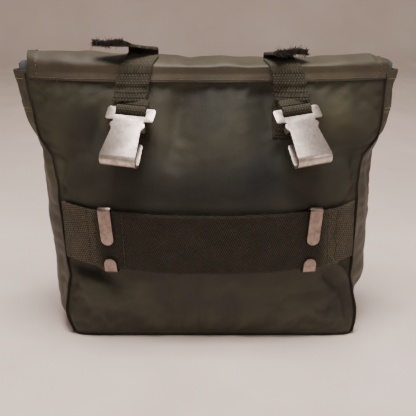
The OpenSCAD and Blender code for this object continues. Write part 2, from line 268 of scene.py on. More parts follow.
class Look:
    """A node material on the principled shader."""

    def __init__(self, name, **plain):
        self.material = bpy.data.materials.new(name)
        self.material.use_nodes = True
        self.tree = self.material.node_tree
        self.shader = self.tree.nodes["Principled BSDF"]
        for socket, value in plain.items():
            self.feed(self.shader.inputs[socket.replace("_", " ")], value)

    def feed(self, socket, value):
        """Links a socket to another node's output, or sets it."""
        if isinstance(value, bpy.types.NodeSocket):
            self.tree.links.new(value, socket)
        else:
            socket.default_value = value

    def node(self, kind, inputs=(), **settings):
        node = self.tree.nodes.new("ShaderNode" + kind)
        for key, value in settings.items():
            setattr(node, key, value)
        for key, value in dict(inputs).items():
            self.feed(node.inputs[key], value)
        return node

    def attribute(self, name, output):
        return self.node("Attribute", attribute_name=name).outputs[output]

    def math(self, operation, a, b):
        return self.node("Math", {0: a, 1: b}, operation=operation).outputs[0]

    def spread(self, value, low, high, to_low=0.0, to_high=1.0):
        names = ("Value", "From Min", "From Max", "To Min", "To Max")
        inputs = zip(names, (value, low, high, to_low, to_high))
        return self.node("MapRange", inputs).outputs["Result"]

    def scaled(self, place, scale):
        return self.node("Mapping", {"Vector": place, "Scale": scale}).outputs["Vector"]

    def noise(self, place, scale, detail=3.0, rough=0.55):
        inputs = {"Vector": place, "Scale": scale, "Detail": detail, "Roughness": rough}
        return self.node("TexNoise", inputs).outputs["Fac"]

    def mix(self, factor, a, b, blend="MIX"):
        inputs = {0: factor, 6: a, 7: b}
        return self.node("Mix", inputs, data_type="RGBA", blend_type=blend).outputs[2]

    def shade(self, colour, tone):
        """The colour times a grey value."""
        grey = self.node("CombineColor", {0: tone, 1: tone, 2: tone}).outputs[0]
        return self.mix(1.0, colour, grey, "MULTIPLY")

    def worn(self, colour, wear):
        """The colour times the wear and the mesh's own tone, which holds the painted light and
        shade.
        """
        return self.shade(colour, self.math("MULTIPLY", self.attribute("tone", "Fac"), wear))

    def bump(self, height, distance_mm, strength=1.0, below=None):
        inputs = {"Height": height, "Distance": distance_mm * MM, "Strength": strength}
        if below is not None:
            inputs["Normal"] = below
        return self.node("Bump", inputs).outputs["Normal"]

    def done(self, colour=None, roughness=None, normal=None):
        for socket, value in (("Base Color", colour), ("Roughness", roughness), ("Normal", normal)):
            if value is not None:
                self.feed(self.shader.inputs[socket], value)
        return self.material


def rgb(r, g, b):
    """A colour given as it looks on screen, from 0 to 255."""
    return tuple((v / 255) ** 2.2 for v in (r, g, b)) + (1.0,)


def threads(look, place, across_mm, along_mm):
    """Height of a plain weave with those thread widths, from the cloth's own coordinates."""
    parts = look.node("SeparateXYZ", {0: place}).outputs
    waves = [look.math("SINE", look.math("MULTIPLY", parts[k], math.pi / width), 0.0)
             for k, width in enumerate((across_mm, along_mm))]
    return look.math("MULTIPLY", *waves)


def canvas_look(name, dark, light, roughness=0.5, weave_mm=0.55, bump_mm=0.05):
    """Coated canvas: blotchy, a little worn, with a fine weave under the coating."""
    look = Look(name, Sheen_Weight=0.03, Sheen_Roughness=0.5, Specular_IOR_Level=0.4)
    cloth = look.attribute("cloth", "Vector")
    patches = look.spread(look.noise(cloth, 0.016, 4.0), 0.34, 0.68)
    grain = look.noise(cloth, 0.35, 5.0, 0.7)
    fleck = look.noise(cloth, 2.4, 2.0, 0.6)
    colour = look.mix(patches, dark, light)
    colour = look.worn(colour, look.spread(grain, 0.3, 0.7, 0.86, 1.12))
    colour = look.mix(look.spread(fleck, 0.66, 0.8, 0.0, 0.35), colour, light)
    rough = look.spread(grain, 0.25, 0.75, roughness - 0.07, roughness + 0.12)
    weave = look.bump(threads(look, cloth, weave_mm, weave_mm), bump_mm)
    normal = look.bump(grain, 0.25, 0.7, weave)
    return look.done(colour, rough, normal)


def webbing_look(name, dark, light, thread_mm=0.7, along_mm=1.1):
    """Cotton webbing: dull, with thread-wide changes of colour."""
    look = Look(name, Sheen_Weight=0.06, Sheen_Roughness=0.6, Specular_IOR_Level=0.2)
    cloth = look.attribute("cloth", "Vector")
    weave = threads(look, cloth, thread_mm, along_mm)
    strands = look.noise(look.scaled(cloth, (1.0, 0.35, 1.0)), 0.9, 4.0, 0.75)
    patches = look.noise(cloth, 0.06, 3.0)
    amount = look.math("ADD", look.spread(weave, -1.0, 1.0, -0.25, 0.45),
                       look.spread(strands, 0.3, 0.7, 0.0, 0.6))
    colour = look.mix(amount, dark, light)
    colour = look.worn(colour, look.spread(patches, 0.3, 0.7, 0.8, 1.15))
    rough = look.spread(strands, 0.3, 0.7, 0.72, 0.92)
    normal = look.bump(strands, 0.22, 0.8, look.bump(weave, 0.12, 0.8))
    return look.done(colour, rough, normal)


def thread_look(name, dark, light):
    """Sewing thread and loose yarn: dull, with fine uneven fibres."""
    look = Look(name, Sheen_Weight=0.2, Specular_IOR_Level=0.25)
    place = look.node("TexCoord").outputs["Object"]
    fibre = look.noise(place, 900.0, 3.0, 0.7)
    return look.done(look.mix(look.spread(fibre, 0.35, 0.65), dark, light),
                     look.spread(fibre, 0.3, 0.7, 0.7, 0.9))


def aluminium_look(name, colour, worn, roughness):
    """Satin sheet metal with fine scratches and a few darker rubbed spots."""
    look = Look(name, Metallic=1.0)
    place = look.node("TexCoord").outputs["Object"]
    scratches = look.noise(look.scaled(place, (60.0, 900.0, 900.0)), 1.4, 5.0, 0.75)
    fine = look.noise(look.scaled(place, (1500.0, 260.0, 260.0)), 1.0, 3.0, 0.7)
    spots = look.noise(place, 170.0, 4.0, 0.65)
    shade = look.mix(look.spread(spots, 0.42, 0.72), colour, worn)
    shade = look.shade(shade, look.spread(scratches, 0.3, 0.7, 0.9, 1.06))
    rough = look.math("ADD", look.spread(fine, 0.3, 0.7, roughness - 0.06, roughness + 0.08),
                      look.spread(spots, 0.45, 0.75, 0.0, 0.14))
    dents = look.bump(spots, 0.06, 0.5)
    return look.done(shade, rough, look.bump(scratches, 0.03, 0.5, dents))


# For each maker: name, dark and light colour, and its other settings
LOOK_TABLES = (
    (canvas_look, (
        ("body_canvas", (38, 38, 28), (58, 56, 41), 0.5, 0.55, 0.08),
        ("flap_canvas", (62, 57, 46), (88, 81, 66)),
        ("side_canvas", (52, 50, 39), (74, 70, 55)),
        ("grey_lining", (104, 110, 116), (124, 130, 134), 0.6),
    )),
    (webbing_look, (
        ("welt_tape", (24, 21, 18), (40, 36, 30), 0.5, 0.5),
        ("binding_tape", (58, 55, 42), (90, 86, 66), 0.4, 0.4),
        ("webbing", (34, 32, 26), (97, 92, 75), 0.55, 0.5),
        ("band_webbing", (22, 21, 17), (80, 75, 63), 0.95, 1.9),
    )),
    (thread_look, (
        ("cut_thread", (21, 18, 14), (48, 41, 31)),
        ("seam_thread", (64, 57, 46), (112, 102, 84)),
        ("frayed_thread", (28, 27, 21), (66, 62, 48)),
        ("pale_thread", (92, 84, 70), (146, 134, 114)),
        ("olive_thread", (70, 66, 48), (112, 106, 78)),
    )),
    (aluminium_look, (
        ("hook_aluminium", (206, 193, 186), (152, 138, 132), 0.38),
        # Painted reflection: the clips are coloured darker than the hooks for the dark room that
        # their front plates reflect
        ("clip_aluminium", (149, 134, 127), (120, 105, 98), 0.34),
    )),
)
LOOKS = {name: make(name, rgb(*dark), rgb(*light), *settings)
         for make, rows in LOOK_TABLES for name, dark, light, *settings in rows}

# ---- The stuffed body ----
# A place on the body is (t, z): t from 0 to 1 crosses the back from left to right, to 2 the right
# gusset, to 3 the front and to 4 the left gusset.

# Folds: x, z, half length, half width, turn in degrees and depth (negative is inwards)
BACK_FOLDS = (
    (-24, 184, 38, 14, 86, -5.0), (50, 184, 38, 14, 94, -5.0), (16, 184, 44, 11, 90, 2.0),
    (-104, 61, 18, 6.0, -14, -8.5), (-100, 42, 20, 10, -8, 4.5), (-122, 56, 6, 12, 0, -3.0),
    (111, 65, 19, 3.5, -52, 3.0), (104, 56, 22, 5.5, -50, -5.5), (126, 40, 8, 20, 0, -1.6),
    (-126, 150, 30, 6, 84, -2.2), (128, 154, 34, 6, 96, -2.2), (0, 40, 70, 14, 0, -1.2),
    (30, 24, 60, 7, 4, 1.0), (-40, 62, 40, 5, 8, 0.9), (60, 150, 46, 8, -22, 0.9),
    (-80, 150, 34, 7, 26, -1.3), (98, 176, 24, 6, -64, -1.6), (-98, 186, 22, 6, 62, -1.5),
    (0, 130, 120, 9, 0, -1.0), (-62, 20, 24, 5, 30, -1.2), (86, 18, 20, 5, -28, -1.2),
)
FRONT_FOLDS = (
    (-50, 60, 60, 12, 10, -2.0), (60, 50, 50, 10, -14, -2.2), (0, 84, 110, 9, 0, -1.4),
    (-112, 44, 24, 7, 40, -2.4), (114, 48, 24, 7, -42, -2.4),
)
# On the gussets x is measured from front to back
SIDE_FOLDS = (
    (0, 186, 60, 5, 90, -4.0), (-14, 150, 26, 5, 78, -1.6), (12, 70, 40, 9, 96, -1.8),
    (-8, 52, 9, 26, 0, -2.4), (4, 22, 26, 8, 0, 1.2), (0, 104, 30, 8, 12, 1.0),
)


def folds(x, z, table):
    total = np.zeros(np.broadcast(x, z).shape)
    for fx, fz, long, short, turn, depth in table:
        a = math.radians(turn)
        along = (x - fx) * math.cos(a) + (z - fz) * math.sin(a)
        aside = (z - fz) * math.cos(a) - (x - fx) * math.sin(a)
        total += depth * np.exp(-(along / long) ** 2 - (aside / short) ** 2)
    return total


def section(t, z):
    """The unit superellipse's coordinates at a place."""
    t, z = np.broadcast_arrays(np.asarray(t, float) % 4, z)
    share = lookup(z, SEAM_SHARE)
    edge = partner(share, z)
    f = 2 * (t % 1) - 1
    wide = f * share
    deep = f * edge
    on = [t < 1, (t >= 1) & (t < 2), (t >= 2) & (t < 3)]
    cx = np.select(on, [wide, partner(deep, z), -wide], -partner(deep, z))
    cy = np.select(on, [-partner(wide, z), deep, partner(wide, z)], -deep)
    return cx, cy


# A panel's and a gusset's width, and the mean of both, near enough for ripples and puckers
PANEL_SPAN, GUSSET_SPAN, MEAN_SPAN = 280, 62, 145


def dent(t, z):
    """How far the stuffed cloth stands out from the smooth form, in millimetres."""
    t, z = np.broadcast_arrays(np.asarray(t, float) % 4, z)
    cx, cy = section(t, z)
    x, y = cx * lookup(z, HALF_WIDTH), cy * lookup(z, HALF_DEPTH)
    side = t.astype(int)
    back = folds(x, z, BACK_FOLDS)
    front = folds(x, z, FRONT_FOLDS)
    gusset = folds(y, z, SIDE_FOLDS)
    total = np.select([side == 0, side == 2], [back, front], gusset)
    around = t * MEAN_SPAN
    total += sum(height * ripple(around, z, size, seed)
                 for size, height, seed in ((75, 1.1, 3), (26, 0.5, 4), (9, 0.14, 5)))
    # The right gusset is pinched above the base
    total -= np.where(side == 1, 9.5 * np.exp(-((z - 24) / 17) ** 2)
                      + 1.6 * np.exp(-((z - 100) / 12) ** 2), 0)
    # The cloth is pulled down at its seams and puckers beside them
    near = np.minimum(t % 1, 1 - t % 1) * np.where(side % 2 == 0, PANEL_SPAN, GUSSET_SPAN)
    pucker = np.sin(z / 2.1 + 3 * ripple(z, side * 40.0, 40, 8))
    total += 0.55 * pucker * np.exp(-((near - 4) / 5.0) ** 2)
    total *= ease(near / 7)
    low = ease(z / 10) * ease((MOUTH_Z - z) / 18)
    swell = 0.8 * ease(near / 60) * ease(z / 14) * ease((60 - z) / 40)
    # It lies smooth under the clips
    clip = np.exp(-((np.abs(x) - 84) / 17) ** 6 - ((z - 95) / 34) ** 6) * (side == 0)
    return (total * low + swell + slack(t, z)) * (1 - clip)


SLACK = {}


def slack(t, z):
    """What the cloth simulation adds to the dents, read between its grid's points."""
    if not SLACK:
        return 0.0
    at_t = np.interp(t, SLACK["t"], np.arange(len(SLACK["t"])))
    at_z = np.interp(z, SLACK["z"], np.arange(len(SLACK["z"])))
    i, j = at_t.astype(int), np.minimum(at_z.astype(int), len(SLACK["z"]) - 2)
    fi, fj, grid = at_t - i, at_z - j, SLACK["out"]
    k, i = (i + 1) % grid.shape[1], i % grid.shape[1]
    low = grid[j, i] * (1 - fi) + grid[j, k] * fi
    return low * (1 - fj) + (grid[j + 1, i] * (1 - fi) + grid[j + 1, k] * fi) * fj


def surface(t, z, off=0.0):
    """A point on the stuffed body, off millimetres outside it."""
    t, z, off = np.broadcast_arrays(np.asarray(t, float), z, off)
    cx, cy = section(t, z)
    out = off + dent(t, z)
    flare = 2.6 * ease(-cx) * ease((z - 192) / 24)
    wide = lookup(z, HALF_WIDTH) + out + flare
    return leaning(xyz(wide * cx, (lookup(z, HALF_DEPTH) + out) * cy, z))


def place(x, z, facing=BACK):
    """The place whose point lies at x on the back or front."""
    t = (x / lookup(z, HALF_WIDTH) / lookup(z, SEAM_SHARE) + 1) / 2
    return np.clip(t, 0, 0.9999) if facing == BACK else 2 + np.clip(1 - t, 0, 0.9999)


# Painted light and shade on the back, lighter where it faces the light and darker where it lies in
# shade, in the same form as the folds
BACK_LIGHT_AND_SHADE = (
    (-27, 172, 26, 12, 90, 0.30), (-4, 202, 24, 8, 90, -0.22), (24, 192, 28, 10, 90, 0.30),
    (44, 158, 20, 14, 90, -0.32), (104, 196, 26, 14, 90, 0.36), (-104, 172, 30, 16, 90, -0.28),
    (-72, 206, 14, 12, 0, 0.20), (-127, 146, 28, 7, 86, 0.40), (-5, 138, 106, 26, 0, -0.60),
    (-56, 152, 16, 22, 0, -0.20), (38, 152, 22, 20, 0, -0.24),
    (80, 142, 24, 24, 0, -0.12), (-98, 44, 24, 13, -8, 0.26), (-104, 62, 20, 6, -14, -0.10),
    (112, 66, 20, 4, -52, 0.18), (0, 62, 130, 7, 0, -0.16), (20, 12, 140, 16, 0, 0.22),
    (20, 36, 110, 14, 0, -0.14), (-6, 186, 12, 7, 90, -0.18), (118, 128, 26, 8, 100, 0.22),
)


def shadow(t, z):
    """Painted shade and light: darker low down and in the folds, a little lighter on the ridges."""
    deep = dent(t, z)
    t, z = np.broadcast_arrays(np.asarray(t, float), z)
    cx, _ = section(t, z)
    # Painted light and shade: the lit and shaded patches of the back
    painted_light_and_shade = np.where(t < 1, folds(cx * lookup(z, HALF_WIDTH), z, BACK_LIGHT_AND_SHADE), 0.0)
    tone = 1 + 0.06 * np.clip(deep, -5, 2.5) + 1.2 * painted_light_and_shade
    tone = tone * (0.86 + 0.18 * ease((z - 40) / 110))
    return tone * (0.92 + 0.08 * ease(z / 9))


def blurred(grid, reach):
    """The grid's local mean, taken twice; its columns run round."""
    for _ in range(2):
        padded = np.pad(grid, ((reach, reach), (0, 0)), mode="edge")
        grid = sum(padded[k:k + grid.shape[0]] for k in range(2 * reach + 1)) / (2 * reach + 1)
        grid = sum(np.roll(grid, k, axis=1) for k in range(-reach, reach + 1)) / (2 * reach + 1)
    return grid


CLOTH_COLUMNS, CLOTH_ROWS = (72, 20, 72, 20), 62
CLOTH_SPARE, CLOTH_PRESSURE, CLOTH_FRAMES = 0.03, 4, 20
CLOTH_IN, CLOTH_OUT = -3.6, 1.3


def stuffed():
    """Simulates the body's cloth, a little too large for its filling and held at its seams."""
    t = np.concatenate([k + np.linspace(0, 1, n, endpoint=False)
                        for k, n in enumerate(CLOTH_COLUMNS)])
    z = np.linspace(0, MOUTH_Z, CLOTH_ROWS)
    base = surface(t[None], z[:, None])
    columns = len(t)
    mesh = new_mesh("stuffed", base.reshape(-1, 3), quads(CLOTH_ROWS, columns, 0, True))
    thing = added("stuffed", mesh)
    sewn = thing.vertex_groups.new(name="sewn")
    held = (t % 1 == 0)[None] | (z < 4)[:, None] | (z > MOUTH_Z - 8)[:, None]
    sewn.add(np.flatnonzero(held).tolist(), 1.0, "REPLACE")
    cloth = thing.modifiers.new("cloth", "CLOTH")
    cloth.settings.vertex_group_mass = "sewn"
    cloth.settings.use_pressure = True
    cloth.settings.uniform_pressure_force = CLOTH_PRESSURE
    cloth.settings.shrink_min = -CLOTH_SPARE
    cloth.settings.effector_weights.gravity = 0
    cloth.settings.bending_stiffness = 0.4
    for frame_number in range(1, CLOTH_FRAMES + 1):
        bpy.context.scene.frame_set(frame_number)
    settled = thing.evaluated_get(bpy.context.evaluated_depsgraph_get()).data
    moved = np.array([v.co for v in settled.vertices]).reshape(base.shape) / MM - base
    bpy.data.objects.remove(thing)
    bpy.data.meshes.remove(mesh)
    outward = grid_normals(base)
    outward *= np.sign((outward[..., :2] * base[..., :2]).sum(axis=-1))[..., None]
    out = (moved * outward).sum(axis=-1)
    out = np.clip(out - blurred(out, 5), CLOTH_IN, CLOTH_OUT) * ~held
    out *= np.where(t.astype(int) % 2 == 1, 0.35, 1.0)        # the narrow gussets crumple less
    SLACK.update(t=np.append(t, 4.0), z=z, out=out)


ROWS = np.concatenate([np.linspace(0, 12, 7), np.linspace(14, MOUTH_Z, 92)])
PANELS = (("back_panel", 0, 150, "body_canvas"), ("right_gusset", 1, 44, "side_canvas"),
          ("front_panel", 2, 110, "body_canvas"), ("left_gusset", 3, 44, "side_canvas"))
STEADY = 1e-6


def body_panels():
    """The four canvas panels, with the columns of the wide ones closer together at the seams."""
    for name, start, columns, slot in PANELS:
        f = np.linspace(0, 1, columns)
        if start % 2 == 0:
            f = (1 + np.sin(np.linspace(-1, 1, columns) * math.pi / 2)) / 2
        t, z = start + np.clip(f, 0, 1 - STEADY)[None], ROWS[:, None]
        mesh = shell(name, surface(t, z), surface(t, z, -CANVAS), tone=shadow(t, z))
        thing = piece(name + "_cloth", mesh, "bag", slot, [name])


def gusset_stitches():
    """The hems sewn across the top of each gusset."""
    for name, start in (("right_gusset_stitches", 1), ("left_gusset_stitches", 3)):
        rows = []
        for z in (194, 197, 221):
            t = start + np.linspace(0.04, 0.96, 40)
            rows += stitch_row(surface(t, z, 0.1), (1 if start == 1 else -1, 0, 0), 2.9, 2.1, 0.3)
        thread(name, rows, "bag", "side_canvas", "pale_thread")


def base_panel():
    """The bag's floor, lifted a little towards its middle."""
    t = np.linspace(0, 4, 160, endpoint=False)[None]
    rim = surface(t, 0.0, -CANVAS - 0.1)[0]
    middle = rim.mean(axis=0)
    scale = np.linspace(1, 0.02, 14)[:, None, None]
    outer = middle + (rim - middle)[None] * scale
    uneven = 0.2 * ripple(outer[..., 0], outer[..., 1], 40, 12)
    outer[..., 2] = 0.15 + 0.5 * ease((1 - scale[..., 0]) * 5) + uneven
    cloth = xyz(outer[..., 0], outer[..., 1], 0.0)
    mesh = shell("base_panel", outer, outer + (0, 0, CANVAS), ring=True, cloth=cloth)
    thing = piece("base_panel_cloth", mesh, "bag", "body_canvas", ["base_panel"])


WELT_R, WELT_SIDES = 1.1, 10


def welt_mesh(name, path, radius, length, tone, **form):
    """Cord rolled in tape, along a path with that length at each of its points."""
    points, faces = tube(path, radius, WELT_SIDES, **form)
    round_it, down = np.tile(np.arange(WELT_SIDES) * 0.9, len(path)), np.repeat(length, WELT_SIDES)
    return new_mesh(name, points, faces, xyz(round_it, down, 0.0), np.full(len(points), tone))


def welts():
    """The piping along every seam, a little uneven and thicker low down."""
    z = np.linspace(2, 226, 240)
    for side, facing, t in (("left", "back", 0.0), ("right", "back", 1.0),
                            ("right", "front", 2.0), ("left", "front", 3.0)):
        name = f"{side}_{facing}_welt"
        swell = 0.68 + 0.3 * ease((150 - z) / 30) + 0.12 * ripple(z, 0 * z + 50 * t, 14, 21)
        path = surface(t, z, WELT_R * swell * 0.75)
        path[:, 0] += 0.12 * ripple(z, 0 * z + 30 * t, 30, 22)
        mesh = welt_mesh(name, path, WELT_R * swell, z, 1.0)
        piece(name + "_tape", mesh, "bag", "welt_tape", [name])
    t = np.linspace(0, 4, 400, endpoint=False)
    path = surface(t, 0.0, WELT_R * 0.4)
    path[:, 2] = 0.9
    radius = WELT_R * 0.62 + 0.12 * ripple(t * 100, 0 * t, 12, 23)
    # Painted light: the base welt's tape is toned lighter than the same tape up the seams
    mesh = welt_mesh("base_welt", path, radius, t * 130, 1.9, side=(0, 0, 1), ring=True)
    piece("base_welt_tape", mesh, "bag", "welt_tape", ["base_welt"])


def mouth_facing():
    """The hem turned in round the mouth."""
    t = np.linspace(0, 4, 260, endpoint=False)[None]
    z = np.linspace(208, MOUTH_Z - 0.2, 9)[:, None]
    outer, inner = surface(t, z, -CANVAS - 0.5), surface(t, z, -CANVAS - 1.6)
    mesh = shell("mouth_facing", outer, inner, ring=True)
    thing = piece("mouth_facing_cloth", mesh, "bag", "body_canvas", ["mouth_facing"])


EAR_FOOT, EAR_MIDDLE = 206, 147.5


def dust_ears():
    """The lining's corner stands up folded at each end of the mouth."""
    f, v = np.linspace(0, 1, 41)[None], np.linspace(0, 1, 26)[:, None]
    for side, name, out in ((-1, "left_dust_ear", 11.5), (1, "right_dust_ear", 9.5)):
        bend = np.cos(np.pi * (2 * f - 1))                  # -1 at both free edges, 1 at the fold
        reach = EAR_MIDDLE + out * bend - 1.5 * (1 - v)
        top = 229 + 6.5 * ease((1 + bend) / 1.2) - 2.5 * ease(bend * 3 - 2)
        z = EAR_FOOT + (top - EAR_FOOT) * v
        y = 1.6 * np.sin(np.pi * (2 * f - 1)) + 0.9 * ripple(reach, z, 11, 31) * v
        outer = leaning(xyz(side * reach, y, z))
        mesh = shell(name, outer, outer - 0.7 * grid_normals(outer))
        thing = piece(name + "_cloth", mesh, "bag", "grey_lining", [name])


# ---- Thread ----


def along(path, distance):
    """The points at those distances along a path, and its whole length."""
    step = np.concatenate([[0], np.cumsum(np.linalg.norm(np.diff(path, axis=0), axis=1))])
    return np.stack([np.interp(distance, step, path[:, k]) for k in range(3)], axis=-1), step[-1]


def stitch_row(path, out, pitch=3.2, long=2.3, radius=0.28):
    """Stitches along a path that stand a little out from the cloth."""
    path, out = np.asarray(path, float), np.broadcast_to(out, (len(path), 3)).astype(float)
    total = along(path, 0)[1]
    parts = []
    for start in np.arange(0.5, total - long, pitch):
        at = start + long * np.array([0, 0.18, 0.5, 0.82, 1.0])
        centre = along(path, at)[0]
        away = unit(np.stack([np.interp(at, np.linspace(0, total, len(out)), out[:, k])
                              for k in range(3)], axis=-1))
        centre = centre + away * (radius * np.array([-0.5, 0.55, 0.8, 0.55, -0.5]))[:, None]
        thick = radius * np.array([0.35, 0.9, 1.0, 0.9, 0.35])
        parts.append(tube(centre, thick, 6, away[2] + (0.01, 0.02, 0.03)))
    return parts


def cross_stitches(middle, width, z, off, radius):
    """A row of stitches across a strap on the back, ending short of its edges."""
    x = middle + np.linspace(-width / 2 + 1.5, width / 2 - 1.5, 20)
    return stitch_row(surface(place(x, z), z, off), (0, -1, 0.2), 2.7, 2.0, radius)


def thread(name, parts, body, slot, look):
    """One piece made of all those stitches or strands."""
    points, faces = joined(parts)
    return piece(name, new_mesh(name, points, faces, sharp=80), body, slot, look=look)


def frayed(start, direction, count, length, seed, radius=0.16, spread=0.5):
    """Loose strands from points given as an array, curling away in about one direction."""
    chance = np.random.default_rng(seed)
    parts = []
    for _ in range(count):
        f = chance.uniform(0, len(start) - 1.001)
        a = start[int(f)] + (start[int(f) + 1] - start[int(f)]) * (f % 1)
        way = unit(np.asarray(direction, float) + chance.normal(0, spread, 3))
        curl = chance.normal(0, 0.5, 3)
        s = np.linspace(0, 1, 6)[:, None] * length * chance.uniform(0.4, 1.3)
        path = a + way * s + curl * s * s / length
        parts.append(tube(path, radius * np.linspace(1.1, 0.45, 6), 5, (0.3, 0.9, 0.2)))
    return parts


# ---- Belt band ----

BAND_Z, BAND_W, BAND_OFF, WEB = 95.5, 51, 2.9, 1.5
CLIP_X, CLIP_FREE, WALE = 84, 73, 2.7


def sag(x):
    """The band sags between its clips and rises to the seams, level where a clip slides."""
    middle = 1.8 * np.minimum((x / CLIP_FREE) ** 2, 1) - 1.8
    return middle + 2.2 * ease((np.abs(x) - 95) / 30)


def band_point(x, h, off):
    """x along the band and h up from its middle line."""
    z = BAND_Z + h + sag(x)
    wave = 0.5 * ripple(x, h, 46, 41) * ease((np.abs(np.abs(x) - CLIP_X) - 11) / 10)
    wave = wave + 0.2 * ease(-x / 60)
    end = ease((np.abs(x) - 112) / 16)
    t = place(x, z)
    points = surface(t, z, 0)
    hollow = np.minimum(dent(t, z), 0)                      # the band bridges hollows behind it
    points[..., 1] += hollow * 0.85
    points[..., 1] -= (off + wave) - 1.7 * end
    return points


def back_band():
    """The belt band: a lighter twill at its ends than in its middle, with fuzz on its edges."""
    reach = 0.5 * (lookup(BAND_Z, HALF_WIDTH) * lookup(BAND_Z, SEAM_SHARE))
    x = np.linspace(-1, 1, 380)[None] * (2 * reach - 0.6)
    h = np.linspace(-BAND_W / 2, BAND_W / 2, 112)[:, None]
    x, h = np.broadcast_arrays(x, h)
    yarn = np.sin(h * math.pi / 0.95 + np.floor(x / WALE) * math.pi)
    rib = 0.22 * yarn * np.sqrt(np.abs(np.sin(x * math.pi / WALE)))
    edge = ease((BAND_W / 2 - np.abs(h)) / 1.3)
    outer = band_point(x, h, BAND_OFF + WEB * (0.55 + 0.45 * edge) + rib * edge)
    inner = band_point(x, h, BAND_OFF + 0.15 * (1 - edge))
    middle = ease((100 - np.abs(x)) / 10)
    # Painted light and shade: the tone is lighter on the weave's ribs and darker in the grooves
    # between them
    tone = (1.5 - 0.95 * middle) * (0.9 + 0.25 * edge) * (1 + (3.2 - 1.6 * middle) * rib)
    mesh = shell("back_band", outer, inner, cloth=xyz(x, h, 0.0), tone=tone)
    thing = piece("back_band_webbing", mesh, "bag", "webbing", ["back_band"], "band_webbing")
    parts = []
    for at in (-103, -96.5, -72.6, 98.5, 107.5):
        h = np.linspace(-BAND_W / 2 + 1.5, BAND_W / 2 - 1.5, 40)
        line = band_point(0 * h + at, h, BAND_OFF + WEB + 0.25)
        parts += stitch_row(line, (0, -1, 0), 3.0, 2.2, 0.36)
    sewn = thread("back_band_stitches", parts, "bag", "webbing", "frayed_thread")
    fuzz = []
    for start, end, count in ((-120, -97, 40), (-CLIP_FREE + 2, CLIP_FREE - 2, 260),
                              (99.5, 120, 40)):
        x = np.linspace(start, end, 100)
        for way, strands, long in ((1, count, 1.7), (-1, count // 2, 1.2)):
            line = band_point(x, 0 * x + way * BAND_W / 2, BAND_OFF + WEB * 0.6)
            fuzz += frayed(line, (0, -0.3, way), strands, long, 51 + way, 0.09, 0.6)
    loose = thread("back_band_fuzz", fuzz, "bag", "webbing", "frayed_thread")


# ---- Hooks and clips ----

HOOK_X = {"left": 63, "right": 69}
STRAP_X = {"left": -60.5, "right": 67}
HOOK_YAW = {"left": -14, "right": 18}
HOOK_LEAN = {"left": 3, "right": -5}
HOOK_Z, HOOK_OFF, HOOK_PITCH = 201, 9, 45
STRAP_W, LOOP_R = 25, 2.5


def rounded(name, look, width, angle=30, weld=False):
    """Gives a CAD mesh its look and rounds its edges."""
    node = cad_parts[name]
    if weld:
        node.modifiers.new("weld", "WELD").merge_threshold = 0.02 * MM
    bevel = node.modifiers.new("bevel", "BEVEL")
    bevel.width, bevel.segments, bevel.limit_method = width * MM, 2, "ANGLE"
    bevel.angle_limit = math.radians(angle)
    node.data.materials.clear()
    node.data.materials.append(look)
    node.data.shade_smooth()
    node.data.set_sharp_from_angle(angle=math.radians(30))


def metal_parts():
    for name in ("left_hook", "right_hook", "left_band_clip", "right_band_clip"):
        look = LOOKS["hook_aluminium" if "hook" in name else "clip_aluminium"]
        rounded(name, look, 0.32, 38, weld=True)


def hook_place(side, points):
    """Points given at a hook's bar, with its plate hanging down and -Y outward, put in place."""
    sign = -1 if side == "left" else 1
    bar = on_skin(sign * HOOK_X[side], HOOK_Z, HOOK_OFF, BACK)
    turn = Euler([math.radians(a) for a in (0, 0, HOOK_YAW[side])]).to_matrix()
    turn = turn @ Euler((math.radians(-HOOK_PITCH), 0, 0)).to_matrix()
    turn = turn @ Euler((0, math.radians(HOOK_LEAN[side]), 0)).to_matrix()
    return points @ np.array(turn).T + bar


def beads(u, v, across=2.3, pick=2.0):
    """The yarns of coarse webbing: from 0 to 1, each row shifted by half a yarn."""
    row = np.floor(v / pick)
    yarn = 0.5 + 0.5 * np.sin(u * 2 * math.pi / across + row * math.pi)
    return np.abs(np.sin(v * math.pi / pick)) * yarn


def weave(u, v):
    """Relief of coarse webbing, in millimetres."""
    return 0.34 * (beads(u, v) - 0.4)


def hook_loops():
    """The webbing loop round each hook's bar, sewn shut above it."""
    u = np.linspace(-STRAP_W / 2, STRAP_W / 2, 80)[None]
    turns = np.radians(np.linspace(96, 444, 70))
    up = np.linspace(6.5, 0, 9)[:-1]
    lines = []
    for k in (0, 1):
        r, shut = LOOP_R + k * WEB, 0.1 + k * WEB
        first = np.stack([np.full(8, -shut), up + r * 0.98], axis=-1)
        ring = r * np.stack([np.cos(turns), np.sin(turns)], axis=-1)
        last = np.stack([np.full(8, shut), up[::-1] + r * 0.98], axis=-1)
        lines.append(np.concatenate([first, ring, last]))
    v = lengths(lines[1][:, None], 0)[:, None]
    flat_inner, flat_outer = [xyz(u, line[:, :1], line[:, 1:]) for line in lines]
    flat_outer = flat_outer + unit(flat_outer - flat_inner) * weave(u, v)[..., None]
    for side in ("left", "right"):
        outer, inner = [hook_place(side, grid.reshape(-1, 3)).reshape(grid.shape)
                        for grid in (flat_outer, flat_inner)]
        name = side + "_hook_loop"
        # Painted shade: the webbing's tone is darker in the gaps between its yarns
        thing = strap(name, "bag", outer, inner, u, v, 0.45 + 1.1 * beads(u, v))


def strap(name, body, outer, inner, u, v, tone=None):
    """A webbing strap; u and v are its places across and along."""
    mesh = shell(name, outer, inner, cloth=xyz(u, v, 0.0), tone=tone)
    return piece(name + "_webbing", mesh, body, "webbing", [name])


def strap_grid(w, z0, z1, rows, columns):
    """Places across and up a strap, and its thickness there, less at its edges."""
    u = np.linspace(-w / 2, w / 2, columns)[None]
    u, z = np.broadcast_arrays(u, np.linspace(z0, z1, rows)[:, None])
    edge = ease((w / 2 - np.abs(u)) / 0.9)
    return u, z, edge, WEB * (0.6 + 0.4 * edge)


